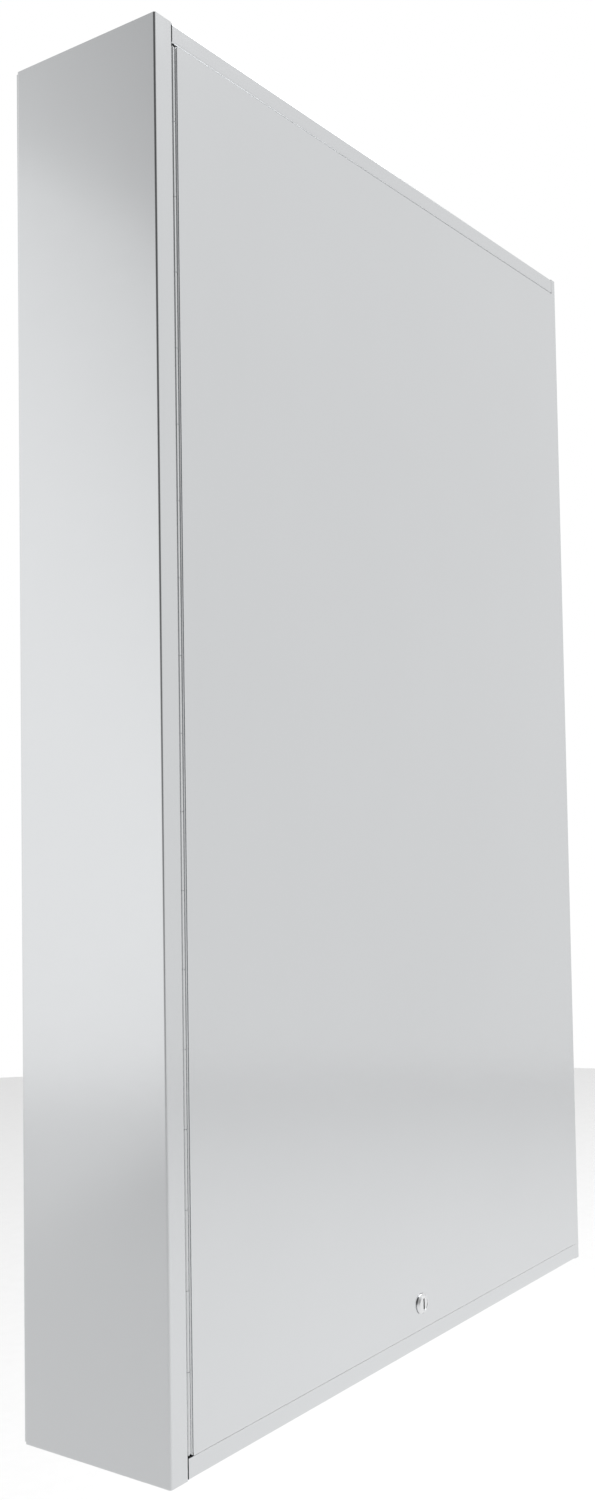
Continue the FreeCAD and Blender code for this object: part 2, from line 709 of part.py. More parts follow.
mirror = new_body("mirror_panel")
mirror_outline = new_sketch(mirror, "mirror_outline", "XZ_Plane")
mirror_width = DOOR_WIDTH + " - mirror_margin - mirror_margin_hinge"
mirror_height = DOOR_HEIGHT + " - 2 * mirror_margin"
add_rectangle(mirror_outline, "0", "0", mirror_width, mirror_height)
extrude(mirror, "Pad", "mirror_pad", mirror_outline, "mirror_gauge", backward=True)
mirror_corners = [("0", "0"), (mirror_width, "0"), ("0", mirror_height), (mirror_width, mirror_height)]
round_edges(mirror, "mirror_corners", 1, mirror_corners, "mirror_corner")
add_lock_hole(mirror, "mirror", "mirror_margin_hinge", "mirror_margin", "mirror_gauge")
place(mirror, DOOR_LEFT + " + mirror_margin_hinge", DOOR_FRONT, DOOR_BOTTOM + " + mirror_margin")

pan = new_body("door_pan")
pan_outline = new_sketch(pan, "pan_outline", "XZ_Plane")
add_rectangle(pan_outline, "0", "0", DOOR_WIDTH, DOOR_HEIGHT)
extrude(pan, "Pad", "pan_block", pan_outline, PAN_DEPTH, backward=True)
pan_verticals = [("0", "0"), (DOOR_WIDTH, "0"), ("0", DOOR_HEIGHT), (DOOR_WIDTH, DOOR_HEIGHT)]
round_edges(pan, "pan_corners", 1, pan_verticals, "pan_corner")
pan_solid = pan.Tip
front_rim = edges_where(
    pan_solid.Shape,
    lambda edge: max(abs(vertex.Point.y) for vertex in edge.Vertexes) < 1e-4)
fillet_edges(pan, "pan_front_bend", pan_solid, front_rim, "pan_bend")
# Cavity between the face and the rear flanges, then the opening between those flanges
pan_cavity = new_sketch(pan, "pan_cavity", "XZ_Plane", "0 - pan_gauge")
add_rectangle(pan_cavity, "pan_gauge", "pan_gauge", DOOR_WIDTH + " - pan_gauge",
              DOOR_HEIGHT + " - pan_gauge")
extrude(pan, "Pocket", "pan_cavity_cut", pan_cavity, PAN_DEPTH + " - 2 * pan_gauge")
pan_opening = new_sketch(pan, "pan_opening", "XZ_Plane", "0 - pan_gauge")
add_rectangle(pan_opening, "pan_flange", "pan_flange", DOOR_WIDTH + " - pan_flange",
              DOOR_HEIGHT + " - pan_flange")
extrude(pan, "Pocket", "pan_opening_cut", pan_opening, PAN_DEPTH)
add_lock_hole(pan, "pan", "0", "0", "pan_gauge")
pan_holes = new_sketch(pan, "pan_liner_rivet_holes", "XZ_Plane", "0 - 2 * pan_gauge")
for u, v in LINER_RIVETS:
    add_circle(pan_holes, u, v, "rivet_shank_radius")
extrude(pan, "Pocket", "pan_liner_rivet_cut", pan_holes, PAN_DEPTH)
pan_hinge_hole = new_sketch(pan, "pan_hinge_rivet_hole", "YZ_Plane", "2 * pan_gauge")
add_circle(pan_hinge_hole, "door_proud + axis_setback + rivet_setback - mirror_gauge",
           "0 - hinge_length / 2 - %s + 1.5 * %s" % (DOOR_BOTTOM, KNUCKLE_PITCH),
           "rivet_shank_radius")
pan_hole = extrude(pan, "Pocket", "pan_hinge_rivet_cut", pan_hinge_hole, "2 * pan_gauge")
pattern(pan, "pan_hinge_rivet_holes", pan_hole, "Z_Axis",
        "%s * (knuckle_count - 2)" % KNUCKLE_PITCH, "knuckle_count / 2")
place(pan, DOOR_LEFT, DOOR_FRONT + " + mirror_gauge", DOOR_BOTTOM)

liner = new_body("door_liner")
liner_outline = new_sketch(liner, "liner_outline", "XZ_Plane")
add_rectangle(liner_outline, "0", "0", DOOR_WIDTH + " - 2 * liner_margin",
              DOOR_HEIGHT + " - 2 * liner_margin")
extrude(liner, "Pad", "liner_pad", liner_outline, "liner_gauge", backward=True)
add_lock_hole(liner, "liner", "liner_margin", "liner_margin", "liner_gauge")
liner_holes = new_sketch(liner, "liner_rivet_holes", "XZ_Plane")
for u, v in LINER_RIVETS:
    add_circle(liner_holes, u + " - liner_margin", v + " - liner_margin", "rivet_shank_radius")
extrude(liner, "Pocket", "liner_rivet_cut", liner_holes, "liner_gauge")
place(liner, DOOR_LEFT + " + liner_margin", LINER_REAR + " - liner_gauge",
      DOOR_BOTTOM + " + liner_margin")

liner_rivet = rivet("liner_rivet", "liner_gauge + pan_gauge")
liner_spots = []
for u, v in LINER_RIVETS:
    liner_spots.append(("%s + %s" % (DOOR_LEFT, u), LINER_REAR + " + rivet_head_height",
                        "%s + %s" % (DOOR_BOTTOM, v), AXIS_TO_FRONT))
liner_rivets = group_of("liner_rivets", liner_rivet, liner_spots)


def stiffener(label, sign):
    """Channel between the pan's face and the liner."""
    body = new_body(label)
    depth_inside = "(%s - pan_gauge)" % PAN_DEPTH
    profile = new_sketch(body, label + "_profile", "XY_Plane")
    add_outline(profile, [
        ("0", "0"),
        ("stiffener_width", "0"),
        ("stiffener_width", depth_inside),
        ("stiffener_width - pan_gauge", depth_inside),
        ("stiffener_width - pan_gauge", "pan_gauge"),
        ("pan_gauge", "pan_gauge"),
        ("pan_gauge", depth_inside),
        ("0", depth_inside),
    ])
    extrude(body, "Pad", label + "_pad", profile, "stiffener_length")
    place(body, "%s %s stiffener_offset - stiffener_width / 2" % (DOOR_CENTRE, sign),
          DOOR_FRONT + " + mirror_gauge + pan_gauge", "0 - stiffener_length / 2")
    return body


stiffener_hinge = stiffener("door_stiffener_hinge", "-")
stiffener_free = stiffener("door_stiffener_free", "+")

# Rubber buffers on the stop flange
bumper = new_body("bumper")
bumper_face = new_sketch(bumper, "bumper_face", "XY_Plane")
add_circle(bumper_face, "0", "0", "bumper_radius")
extrude(bumper, "Pad", "bumper_pad", bumper_face, "bumper_height")
bumper_block = bumper.Tip
bumper_rim = edges_where(
    bumper_block.Shape,
    lambda edge: edge.Closed and edge.BoundBox.ZMin > number("bumper_height") / 2)
fillet_edges(bumper, "bumper_dome", bumper_block, bumper_rim, "bumper_round")
bumper_x = "width / 2 - stile_free - stop_flange / 2"
bumper_y = "return_depth - sheet_gauge - depth"
bumper_spots = [
    (bumper_x, bumper_y, "bumper_spacing * (%d)" % step, AXIS_TO_FRONT) for step in (-1, 0, 1)
]
bumpers = group_of("door_bumpers", bumper, bumper_spots)


# Cam lock ----------------------------------------------------------------------------------------

def place_on_lock(obj, setback="0"):
    """Put a part drawn about local Z on the lock's axis, setback behind the front of the dome."""
    place(obj, DOOR_CENTRE, "%s - lock_dome + %s" % (DOOR_FRONT, setback), LOCK_Z, AXIS_TO_WALL)


def turned_body(label, outline):
    """A body turned about local Z from half its section."""
    body = new_body(label)
    half = new_sketch(body, label + "_half", "XZ_Plane")
    add_outline(half, outline)
    turned = body.newObject("PartDesign::Revolution", label + "_turned")
    turned.Profile = half
    turned.ReferenceAxis = (half, ["V_Axis"])
    turned.Angle = 360
    body.Tip = turned
    doc.recompute()
    return body


lock_body = turned_body("lock_body", [
    ("plug_head_radius + lock_bore_clearance", "0"),
    ("lock_flange_radius", "0"),
    ("lock_flange_radius", "lock_dome - lock_undercut"),
    ("lock_flange_radius - lock_undercut", "lock_dome - lock_undercut"),
    ("lock_flange_radius - lock_undercut", "lock_dome"),
    ("lock_body_radius", "lock_dome"),
    ("lock_body_radius", "lock_body_length"),
    ("plug_radius + lock_bore_clearance", "lock_body_length"),
    ("plug_radius + lock_bore_clearance", "plug_head_length + lock_bore_clearance"),
    ("plug_head_radius + lock_bore_clearance", "plug_head_length + lock_bore_clearance"),
])
lock_blank = lock_body.Tip
front_circle = edges_where(
    lock_blank.Shape,
    lambda edge: edge.Closed and edge.BoundBox.ZMax < 1e-3
    and edge.BoundBox.XLength / 2 > number("lock_face_radius"))
dome = lock_body.newObject("PartDesign::Chamfer", "lock_body_dome")
dome.Base = (lock_blank, front_circle)
dome.ChamferType = "Two distances"
dome.setExpression("Size", bound("lock_flange_radius - lock_face_radius"))
dome.setExpression("Size2", bound("lock_dome - lock_rim"))
lock_body.Tip = dome
doc.recompute()
rounded = edges_where(
    dome.Shape,
    lambda edge: edge.Closed and edge.BoundBox.ZMax < number("lock_dome - lock_undercut") - 1e-3
    and edge.BoundBox.XLength / 2 > number("lock_face_radius") - 0.1)
fillet_edges(lock_body, "lock_body_round", dome, rounded, "lock_rim - lock_undercut")
for side, low, high in (("right", "lock_flat", "lock_flange_radius"),
                        ("left", "0 - lock_flange_radius", "0 - lock_flat")):
    flat = new_sketch(lock_body, "lock_flat_" + side, "XY_Plane", "lock_body_length")
    add_rectangle(flat, low, "0 - lock_flange_radius", high, "lock_flange_radius")
    extrude(lock_body, "Pocket", "lock_flat_%s_cut" % side, flat, "lock_body_length - lock_dome")
place_on_lock(lock_body)

washer = cut("lock_washer",
             cylinder("washer_disc", "washer_radius", "washer_gauge"),
             cylinder("washer_hole", "lock_body_radius + lock_hole_clearance", "washer_gauge"))
place_on_lock(washer, "lock_dome + door_depth")

nut_block = doc.addObject("Part::Prism", "nut_block")
nut_block.Polygon = 6
nut_block.setExpression("Circumradius", bound("nut_radius"))
nut_block.setExpression("Height", bound("nut_height"))
nut = cut("lock_nut", nut_block,
          cylinder("nut_hole", "lock_body_radius + lock_bore_clearance", "nut_height"))
place_on_lock(nut, "lock_dome + door_depth + washer_gauge")

plug = turned_body("lock_plug", [
    ("0", "plug_recess"),
    ("plug_head_radius", "plug_recess"),
    ("plug_head_radius", "plug_head_length"),
    ("plug_radius", "plug_head_length"),
    ("plug_radius", "plug_length"),
    ("0", "plug_length"),
])
square = new_sketch(plug, "plug_square", "XY_Plane", "plug_length")
add_rectangle(square, "0 - plug_square / 2", "0 - plug_square / 2",
              "plug_square / 2", "plug_square / 2")
extrude(plug, "Pad", "plug_square_pad", square, "cam_gauge")
keyway = new_sketch(plug, "plug_keyway", "XY_Plane", "keyway_depth")
add_rectangle(keyway, "0 - keyway_width / 2", "0 - keyway_height / 2",
              "keyway_width / 2", "keyway_height / 2")
extrude(plug, "Pocket", "plug_keyway_cut", keyway, "keyway_depth")
tapping = new_sketch(plug, "plug_tapping", "XY_Plane", "plug_length + cam_gauge")
add_circle(tapping, "0", "0", "cam_screw_radius")
extrude(plug, "Pocket", "plug_tapping_cut", tapping, "cam_screw_length")
place_on_lock(plug)

cam = new_body("lock_cam")
cam_outline = new_sketch(cam, "cam_outline", "XY_Plane")
cam_r = number("cam_radius")
cam_far = number("cam_reach - cam_radius")
UP = FreeCAD.Vector(0, 0, 1)
arc_near = cam_outline.addGeometry(
    Part.ArcOfCircle(Part.Circle(FreeCAD.Vector(0, 0, 0), UP, cam_r), math.pi / 2,
                     3 * math.pi / 2), False)
arc_far = cam_outline.addGeometry(
    Part.ArcOfCircle(Part.Circle(FreeCAD.Vector(cam_far, 0, 0), UP, cam_r), -math.pi / 2,
                     math.pi / 2), False)
low_line = cam_outline.addGeometry(
    Part.LineSegment(FreeCAD.Vector(0, -cam_r, 0), FreeCAD.Vector(cam_far, -cam_r, 0)), False)
high_line = cam_outline.addGeometry(
    Part.LineSegment(FreeCAD.Vector(cam_far, cam_r, 0), FreeCAD.Vector(0, cam_r, 0)), False)
cam_outline.addConstraint(Sketcher.Constraint("Tangent", arc_near, 2, low_line, 1))
cam_outline.addConstraint(Sketcher.Constraint("Tangent", low_line, 2, arc_far, 1))
cam_outline.addConstraint(Sketcher.Constraint("Tangent", arc_far, 2, high_line, 1))
cam_outline.addConstraint(Sketcher.Constraint("Tangent", high_line, 2, arc_near, 1))
cam_outline.addConstraint(Sketcher.Constraint("Horizontal", low_line))
cam_outline.addConstraint(Sketcher.Constraint("Coincident", arc_near, 3, -1, 1))
cam_size = cam_outline.addConstraint(Sketcher.Constraint("Radius", arc_near, cam_r))
cam_outline.setExpression("Constraints[%d]" % cam_size, bound("cam_radius"))
hold(cam_outline, "DistanceX", arc_far, 3, "cam_reach - cam_radius")
extrude(cam, "Pad", "cam_pad", cam_outline, "cam_gauge")
cam_hole = new_sketch(cam, "cam_square_hole", "XY_Plane", "cam_gauge")
add_rectangle(cam_hole, "0 - plug_square / 2", "0 - plug_square / 2",
              "plug_square / 2", "plug_square / 2")
extrude(cam, "Pocket", "cam_square_cut", cam_hole, "cam_gauge")
place_on_lock(cam, "plug_length")

screw = cut("lock_cam_screw",
            fuse("cam_screw_solid", [
                cylinder("cam_screw_shank", "cam_screw_radius",
                         "cam_screw_length + cam_screw_head_height"),
                cylinder("cam_screw_head", "cam_screw_head_radius", "cam_screw_head_height",
                         "cam_screw_length"),
            ]),
            box("cam_screw_slot",
                ("0 - cam_screw_head_radius", "cam_screw_head_radius"),
                ("0 - cam_screw_slot_width / 2", "cam_screw_slot_width / 2"),
                ("cam_screw_length + cam_screw_head_height - cam_screw_slot_depth",
                 "cam_screw_length + cam_screw_head_height")))
place_on_lock(screw, "plug_length + cam_gauge - cam_screw_length")


# Checks and export -------------------------------------------------------------------------------

nodes = [side_hinge, side_free, top, bottom, back, clips, leaf_frame, pin, rivets_frame, bumpers,
         mirror, pan, liner, stiffener_hinge, stiffener_free, liner_rivets, leaf_door, rivets_door,
         lock_body, washer, nut, plug, cam, screw]
nodes += standards
nodes += shelves

doc.recompute()
for obj in doc.Objects:
    if "Invalid" in obj.State or "Error" in obj.State:
        raise RuntimeError("%s did not build: %s" % (obj.Name, obj.State))
for node in nodes:
    shape = node.Shape
    if shape.isNull() or not shape.isValid() or not shape.Solids:
        raise RuntimeError("%s has no valid solid" % node.Label)

os.makedirs("parts", exist_ok=True)
for node in nodes:
    node.Shape.exportStep("parts/%s.step" % node.Label)
    box_now = node.Shape.BoundBox
    print("%-24s solids %2d  x %8.2f %8.2f  y %8.2f %8.2f  z %8.2f %8.2f  volume %10.1f" % (
        node.Label, len(node.Shape.Solids), box_now.XMin, box_now.XMax, box_now.YMin,
        box_now.YMax, box_now.ZMin, box_now.ZMax, node.Shape.Volume))
print("%d nodes written" % len(nodes))
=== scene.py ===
"""A wall-hung stainless-steel medicine cabinet, shown from its hinge side in a pale studio."""

import math

import bmesh
import bpy
from mathutils import Matrix, Vector


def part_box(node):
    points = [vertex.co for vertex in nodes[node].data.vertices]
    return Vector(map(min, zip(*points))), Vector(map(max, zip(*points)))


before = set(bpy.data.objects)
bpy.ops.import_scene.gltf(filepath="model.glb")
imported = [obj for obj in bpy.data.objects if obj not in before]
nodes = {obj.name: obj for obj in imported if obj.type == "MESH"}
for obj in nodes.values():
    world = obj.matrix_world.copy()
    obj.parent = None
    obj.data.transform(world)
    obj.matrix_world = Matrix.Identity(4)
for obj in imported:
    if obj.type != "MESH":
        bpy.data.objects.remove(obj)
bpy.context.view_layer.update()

scene = bpy.context.scene


# --- Node helpers ------------------------------------------------------------

class Tree:
    """Builds one shader node tree. The methods for textures and sums return an output socket."""

    def __init__(self, owner):
        owner.use_nodes = True
        self.tree = owner.node_tree
        self.tree.nodes.clear()

    def node(self, kind, **settings):
        made = self.tree.nodes.new(kind)
        for name, value in settings.items():
            setattr(made, name, value)
        return made

    def feed(self, socket, value):
        if isinstance(value, bpy.types.NodeSocket):
            self.tree.links.new(value, socket)
        elif value is not None:
            socket.default_value = value

    def math(self, operation, a, b=None, c=None):
        made = self.node("ShaderNodeMath", operation=operation)
        for socket, value in zip(made.inputs, (a, b, c)):
            self.feed(socket, value)
        return made.outputs[0]

    def coordinates(self, kind="Object"):
        return self.node("ShaderNodeTexCoord").outputs[kind]

    def stretched(self, scale, rotation=(0.0, 0.0, 0.0)):
        made = self.node("ShaderNodeMapping")
        self.feed(made.inputs["Vector"], self.coordinates())
        made.inputs["Scale"].default_value = scale
        made.inputs["Rotation"].default_value = rotation
        return made.outputs["Vector"]

    def noise(self, vector, scale, detail=2.0, roughness=0.5):
        made = self.node("ShaderNodeTexNoise")
        self.feed(made.inputs["Vector"], vector)
        made.inputs["Scale"].default_value = scale
        made.inputs["Detail"].default_value = detail
        made.inputs["Roughness"].default_value = roughness
        return made.outputs["Fac"]

    def cells(self, vector, scale):
        made = self.node("ShaderNodeTexVoronoi", feature="F1")
        self.feed(made.inputs["Vector"], vector)
        made.inputs["Scale"].default_value = scale
        return made.outputs["Distance"]

    def between(self, value, low, high, to_low=0.0, to_high=1.0, smooth=False):
        kind = "SMOOTHSTEP" if smooth else "LINEAR"
        made = self.node("ShaderNodeMapRange", interpolation_type=kind)
        for socket, number in zip(made.inputs, (value, low, high, to_low, to_high)):
            self.feed(socket, number)
        return made.outputs[0]

    def blend(self, factor, a, b):
        made = self.node("ShaderNodeMix", data_type="RGBA")
        self.feed(made.inputs["Factor"], factor)
        self.feed(made.inputs[6], a if isinstance(a, bpy.types.NodeSocket) else (*a, 1.0))
        self.feed(made.inputs[7], b if isinstance(b, bpy.types.NodeSocket) else (*b, 1.0))
        return made.outputs[2]

    def bump(self, height, distance, strength=1.0, normal=None):
        made = self.node("ShaderNodeBump")
        made.inputs["Strength"].default_value = strength
        made.inputs["Distance"].default_value = distance
        self.feed(made.inputs["Height"], height)
        self.feed(made.inputs["Normal"], normal)
        return made.outputs["Normal"]

    def shader(self, **values):
        made = self.node("ShaderNodeBsdfPrincipled")
        for name, value in values.items():
            self.feed(made.inputs[name.replace("_", " ")], value)
        output = self.node("ShaderNodeOutputMaterial")
        self.tree.links.new(made.outputs[0], output.inputs["Surface"])


def edge_distance(tree, low, high):
    """Distance in metres from a point on a box's faces to the nearest edge of that box."""
    split = tree.node("ShaderNodeSeparateXYZ")
    tree.feed(split.inputs[0], tree.coordinates())
    gaps = []
    for axis in range(3):
        middle = (low[axis] + high[axis]) / 2
        half = (high[axis] - low[axis]) / 2
        offset = tree.math("SUBTRACT", split.outputs[axis], middle)
        gaps.append(tree.math("SUBTRACT", half, tree.math("ABSOLUTE", offset)))
    smaller = tree.math("MINIMUM", gaps[0], gaps[1])
    larger = tree.math("MAXIMUM", gaps[0], gaps[1])
    return tree.math("MAXIMUM", smaller, tree.math("MINIMUM", larger, gaps[2]))


# --- Materials ---------------------------------------------------------------

# Texture scales are per metre, and bump heights are in metres. A "mark" is how much a texture moves the
# colour or the roughness.
STEEL = (0.61, 0.62, 0.63)
STEEL_WORN = (0.69, 0.70, 0.71)
GRAIN_ACROSS = 3200.0
GRAIN_ALONG = 14.0
EDGE_BAND = 0.0015
VERTICAL, SIDEWAYS = 2, 0
SHEET_ROUGHNESS, MIRROR_ROUGHNESS, HINGE_ROUGHNESS = 0.17, 0.15, 0.22
SHEET_GRAIN_HEIGHT, HINGE_GRAIN_HEIGHT = 0.00000035, 0.0000006


def steel(name, box, grain, roughness=SHEET_ROUGHNESS, grain_height=SHEET_GRAIN_HEIGHT):
    """Stainless sheet: fine rolled grain along one axis, faint waviness, handling marks and rubbed edges."""
    cloud_scale, cloud_mark = 5.5, 0.035
    smear_stretch, smear_turn, smear_scale, smear_mark = (9.0, 9.0, 21.0), (0.3, 0.2, 0.5), 3.0, 0.06
    nick_stretch, nick_size, nick_mark = (60.0, 60.0, 34.0), 0.045, 0.05
    rub_scale, rub_low, rub_high, rub_share, rub_mark = 120.0, 0.35, 0.65, 0.2, -0.03
    grain_mark, grain_roughness_mark = 0.045, 0.05
    wave_scale, wave_height = 4.0, 0.00006

    material = bpy.data.materials.new(name)
    tree = Tree(material)
    across = [GRAIN_ACROSS] * 3
    across[grain] = GRAIN_ALONG
    lines = tree.noise(tree.stretched(across), 1.0, detail=3.0, roughness=0.6)
    place = tree.coordinates()
    cloud = tree.noise(place, cloud_scale, detail=3.0, roughness=0.55)
    smear_place = tree.stretched(smear_stretch, smear_turn)
    smear = tree.noise(smear_place, smear_scale, detail=5.0, roughness=0.65)
    nicks = tree.between(tree.cells(tree.stretched(nick_stretch), 1.0), 0.0, nick_size, 1.0, 0.0)
    low, high = box
    rubbed = tree.between(edge_distance(tree, low, high), 0.0, EDGE_BAND, 1.0, 0.0, smooth=True)
    patchy = tree.between(tree.noise(place, rub_scale, detail=3.0), rub_low, rub_high)
    rubbed = tree.math("MULTIPLY", rubbed, patchy)

    centred_lines = tree.math("SUBTRACT", lines, 0.5)
    shade = tree.math("MULTIPLY", tree.math("SUBTRACT", cloud, 0.5), cloud_mark)
    shade = tree.math("MULTIPLY_ADD", centred_lines, grain_mark, shade)
    tinted = tree.node("ShaderNodeVectorMath", operation="SCALE")
    tinted.inputs[0].default_value = STEEL
    tree.feed(tinted.inputs["Scale"], tree.math("ADD", 1.0, shade))
    colour = tree.blend(tree.math("MULTIPLY", rubbed, rub_share), tinted.outputs[0], STEEL_WORN)

    rough = tree.math("MULTIPLY_ADD", tree.math("SUBTRACT", smear, 0.5), smear_mark, roughness)
    rough = tree.math("MULTIPLY_ADD", centred_lines, grain_roughness_mark, rough)
    rough = tree.math("MULTIPLY_ADD", nicks, nick_mark, rough)
    rough = tree.math("MULTIPLY_ADD", rubbed, rub_mark, rough)
    rolled = tree.bump(lines, grain_height)
    wave = tree.noise(place, wave_scale, detail=1.0, roughness=0.4)
    tree.shader(
        Base_Color=colour, Metallic=1.0, Roughness=rough,
        Normal=tree.bump(wave, wave_height, normal=rolled),
    )
    return material


def zinc(name, box):
    """Zinc-plated pressed steel: a bluish, slightly mottled passivate."""
    spangle_scale, spangle_height, spangle_mark = 420.0, 0.00002, 0.16
    cloud_scale = 60.0
    bluish, yellowish, bright = (0.52, 0.55, 0.58), (0.62, 0.62, 0.58), (0.70, 0.71, 0.72)
    rub_band, rub_share = 0.0012, 0.5
    base_roughness = 0.22

    material = bpy.data.materials.new(name)
    tree = Tree(material)
    place = tree.coordinates()
    spangle = tree.cells(place, spangle_scale)
    cloud = tree.noise(place, cloud_scale, detail=4.0)
    mottled = tree.blend(tree.between(cloud, 0.35, 0.65), bluish, yellowish)
    low, high = box
    rubbed = tree.between(edge_distance(tree, low, high), 0.0, rub_band, rub_share, 0.0)
    tree.shader(
        Base_Color=tree.blend(rubbed, mottled, bright), Metallic=1.0,
        Roughness=tree.math("MULTIPLY_ADD", spangle, spangle_mark, base_roughness),
        Normal=tree.bump(spangle, spangle_height, 0.5),
    )
    return material


def chrome(name):
    """Bright plating with fine wipe scratches."""
    haze_scale, haze_mark = 500.0, 0.06
    scratch_stretch, scratch_turn = (9000.0, 9000.0, 500.0), (0.0, 0.7, 0.0)
    scratch_mark, scratch_height = 0.04, 0.0000004
    dull, bright = (0.66, 0.67, 0.68), (0.74, 0.745, 0.75)
    base_roughness = 0.05

    material = bpy.data.materials.new(name)
    tree = Tree(material)
    haze = tree.noise(tree.coordinates(), haze_scale, detail=4.0, roughness=0.6)
    scratch = tree.noise(tree.stretched(scratch_stretch, scratch_turn), 1.0)
    rough = tree.math("MULTIPLY_ADD", haze, haze_mark, base_roughness)
    tree.shader(
        Base_Color=tree.blend(tree.between(haze, 0.3, 0.7), dull, bright), Metallic=1.0,
        Roughness=tree.math("MULTIPLY_ADD", scratch, scratch_mark, rough),
        Normal=tree.bump(scratch, scratch_height),
    )
    return material


def rivet(name):
    """Cloudy rivet heads with fine dull specks."""
    speck_scale, speck_mark, speck_height = 1800.0, 0.12, 0.000006
    cloud_scale = 260.0
    dull, bright = (0.52, 0.53, 0.54), (0.66, 0.665, 0.67)
    base_roughness = 0.20

    material = bpy.data.materials.new(name)
    tree = Tree(material)
    place = tree.coordinates()
    speck = tree.noise(place, speck_scale, detail=3.0)
    cloud = tree.noise(place, cloud_scale, detail=3.0)
    tree.shader(
        Base_Color=tree.blend(cloud, dull, bright), Metallic=1.0,
        Roughness=tree.math("MULTIPLY_ADD", speck, speck_mark, base_roughness),
        Normal=tree.bump(speck, speck_height),
    )
    return material


def glass(name, box):
    """Clear float-glass shelf with a green tint, faint streaks and duller ground edges."""
    edge_width, edge_mark = 0.0015, 0.22
    streak_stretch, streak_mark, streak_height = (14.0, 90.0, 14.0), 0.03, 0.00002
    clear, green = (0.90, 0.965, 0.94), (0.55, 0.83, 0.72)
    base_roughness = 0.01

    material = bpy.data.materials.new(name)
    tree = Tree(material)
    low, high = box
    ground = tree.between(edge_distance(tree, low, high), 0.0, edge_width, 1.0, 0.0)
    streak = tree.noise(tree.stretched(streak_stretch), 1.0, detail=4.0)
    rough = tree.math("MULTIPLY_ADD", streak, streak_mark, base_roughness)
    tree.shader(
        Base_Color=tree.blend(ground, clear, green), IOR=1.52, Transmission_Weight=1.0,
        Roughness=tree.math("MULTIPLY_ADD", ground, edge_mark, rough),
        Normal=tree.bump(streak, streak_height, 0.3),
    )
    return material


def rubber(name):
    """Dark moulded rubber with a dusty bloom."""
    pore_scale, pore_mark, pore_height = 3000.0, 0.2, 0.00004
    dust_scale = 220.0
    clean, dusty = (0.020, 0.020, 0.021), (0.060, 0.060, 0.061)
    base_roughness = 0.6

    material = bpy.data.materials.new(name)
    tree = Tree(material)
    place = tree.coordinates()
    pore = tree.noise(place, pore_scale, detail=3.0)
    dust = tree.noise(place, dust_scale, detail=4.0)
    tree.shader(
        Base_Color=tree.blend(tree.between(dust, 0.4, 0.7), clean, dusty),
        Roughness=tree.math("MULTIPLY_ADD", pore, pore_mark, base_roughness),
        Normal=tree.bump(pore, pore_height, 0.6),
    )
    return material


def dress(node, material):
    for slot in nodes[node].material_slots:
        slot.material = material


STEEL_GRAIN = {
    "side_panel_hinge": VERTICAL, "side_panel_free": VERTICAL,
    "top_panel": SIDEWAYS, "bottom_panel": SIDEWAYS, "back_panel": VERTICAL,
    "door_pan": VERTICAL, "door_liner": VERTICAL,
    "door_stiffener_hinge": VERTICAL, "door_stiffener_free": VERTICAL,
}
for node, grain in STEEL_GRAIN.items():
    dress(node, steel(node + "_finish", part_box(node), grain))
mirror_finish = steel("mirror_panel_finish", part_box("mirror_panel"), VERTICAL, MIRROR_ROUGHNESS)
dress("mirror_panel", mirror_finish)

for node in ("hinge_leaf_frame", "hinge_leaf_door", "hinge_pin"):
    finish = steel(node + "_finish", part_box(node), VERTICAL, HINGE_ROUGHNESS, HINGE_GRAIN_HEIGHT)
    dress(node, finish)

for node in ("standard_hinge_front", "standard_hinge_rear", "standard_free_front",
             "standard_free_rear", "shelf_clips", "lock_nut", "lock_washer", "lock_cam"):
    dress(node, zinc(node + "_finish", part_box(node)))

for node in ("lock_body", "lock_plug"):
    dress(node, chrome(node + "_finish"))

for node in ("hinge_rivets_frame", "hinge_rivets_door", "liner_rivets", "lock_cam_screw"):
    dress(node, rivet(node + "_finish"))

for node in ("shelf_1", "shelf_2", "shelf_3", "shelf_4"):
    dress(node, glass(node + "_finish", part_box(node)))

dress("door_bumpers", rubber("door_bumpers_finish"))


# --- Floor -------------------------------------------------------------------

FLOOR_Z = -1.12
FLOOR_RADIUS = 5.4
FLOOR_SIDES = 160
FLOOR_DARK, FLOOR_LIGHT = (0.86, 0.86, 0.86), (0.90, 0.90, 0.90)
FLOOR_MOTTLE_SCALE = 30.0
FLOOR_ROUGHNESS, FLOOR_ROUGHNESS_MARK = 0.85, 0.1

floor_mesh = bpy.data.meshes.new("floor")
build = bmesh.new()
bmesh.ops.create_circle(build, cap_ends=True, segments=FLOOR_SIDES, radius=FLOOR_RADIUS)
build.to_mesh(floor_mesh)
build.free()
floor = bpy.data.objects.new("floor", floor_mesh)
floor.location = (0.0, 0.0, FLOOR_Z)
scene.collection.objects.link(floor)
floor_material = bpy.data.materials.new("floor_finish")
tree = Tree(floor_material)
mottle = tree.noise(tree.coordinates(), FLOOR_MOTTLE_SCALE, detail=4.0)
tree.shader(
    Base_Color=tree.blend(mottle, FLOOR_DARK, FLOOR_LIGHT),
    Roughness=tree.math("MULTIPLY_ADD", mottle, FLOOR_ROUGHNESS_MARK, FLOOR_ROUGHNESS),
)
floor_mesh.materials.append(floor_material)


# --- Studio light ------------------------------------------------------------

# Light levels of the room, and the dim end: its direction in degrees and the cosines where it fades out
# and where it is darkest
WHITE = (1.0, 1.0, 1.0, 1.0)
PALE_WALL = 1.0
DIM_END = 0.12
DIM_AZIMUTH = 200
DIM_ELEVATION = 35
DIM_EDGE, DIM_CORE = 0.4, 0.95
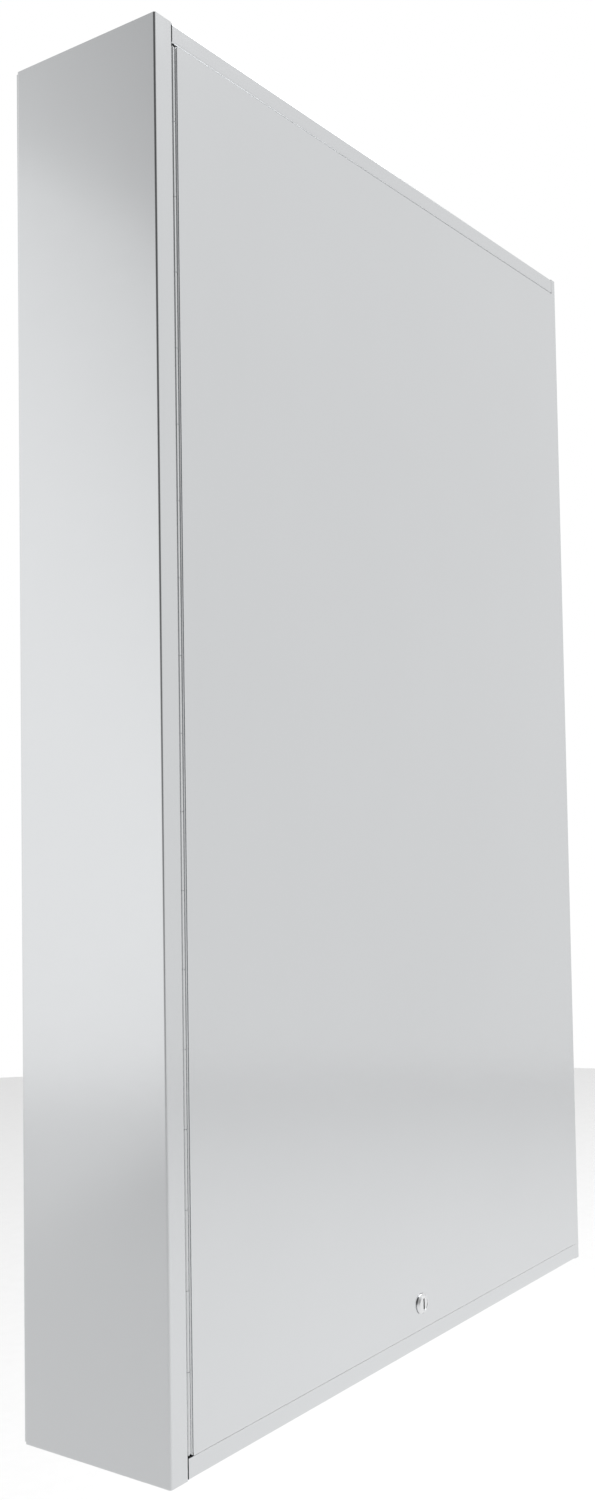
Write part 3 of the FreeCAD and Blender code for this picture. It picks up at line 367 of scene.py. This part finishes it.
# Each softbox: name, diameter, power, place, and the point that it faces
SOFTBOXES = [
    ("overhead_softbox", 4.0, 120.0, (1.5, -1.0, 3.2), (1.5, -1.0, FLOOR_Z)),
    ("left_softbox", 3.0, 5.0, (-2.0, 2.4, 0.3), (0.0, 0.0, 0.0)),
]


def direction(azimuth, elevation):
    azimuth, elevation = math.radians(azimuth), math.radians(elevation)
    return (
        math.cos(elevation) * math.cos(azimuth),
        math.cos(elevation) * math.sin(azimuth),
        math.sin(elevation),
    )


# A pale room that is evenly bright, but for one dim end high behind the viewer's left shoulder.
world = bpy.data.worlds.new("studio")
scene.world = world
tree = Tree(world)
towards_dim_end = tree.node("ShaderNodeVectorMath", operation="DOT_PRODUCT")
tree.feed(towards_dim_end.inputs[0], tree.coordinates("Generated"))
towards_dim_end.inputs[1].default_value = direction(DIM_AZIMUTH, DIM_ELEVATION)
level = tree.between(
    towards_dim_end.outputs["Value"], DIM_EDGE, DIM_CORE, PALE_WALL, DIM_END, smooth=True,
)
studio = tree.node("ShaderNodeBackground")
tree.feed(studio.inputs["Strength"], level)
studio.inputs["Color"].default_value = WHITE
backdrop = tree.node("ShaderNodeBackground")
backdrop.inputs["Color"].default_value = WHITE
pick = tree.node("ShaderNodeMixShader")
tree.feed(pick.inputs[0], tree.node("ShaderNodeLightPath").outputs["Is Camera Ray"])
tree.feed(pick.inputs[1], studio.outputs[0])
tree.feed(pick.inputs[2], backdrop.outputs[0])
tree.feed(tree.node("ShaderNodeOutputWorld").inputs["Surface"], pick.outputs[0])

for name, diameter, power, place, aim in SOFTBOXES:
    softbox_data = bpy.data.lights.new(name, "AREA")
    softbox_data.shape = "DISK"
    softbox_data.size = diameter
    softbox_data.energy = power
    softbox = bpy.data.objects.new(name, softbox_data)
    softbox.location = place
    facing = Vector(aim) - Vector(place)
    softbox.rotation_euler = facing.to_track_quat("-Z", "Y").to_euler()
    softbox.visible_camera = False
    scene.collection.objects.link(softbox)


# --- Camera ------------------------------------------------------------------

# Place in metres, angles in degrees: a turn about Z, then about X, then about the line of sight
EYE = Vector((-1.011, -0.743, -0.066))
HEADING = -54.5
PITCH = 92.9
ROLL = -0.9

SENSOR_WIDTH = 36.0
LENS = 35.1
SHIFT_Y = 0.006
NEAREST = 0.01

camera_data = bpy.data.cameras.new("camera")
camera_data.sensor_width = SENSOR_WIDTH
camera_data.lens = LENS
camera_data.shift_y = SHIFT_Y
camera_data.clip_start = NEAREST
camera = bpy.data.objects.new("camera", camera_data)
turned = Matrix.Rotation(math.radians(HEADING), 4, "Z")
turned = turned @ Matrix.Rotation(math.radians(PITCH), 4, "X")
turned = turned @ Matrix.Rotation(math.radians(ROLL), 4, "Z")
camera.matrix_world = Matrix.Translation(EYE) @ turned
scene.collection.objects.link(camera)
scene.camera = camera

scene.view_settings.view_transform = "Standard"
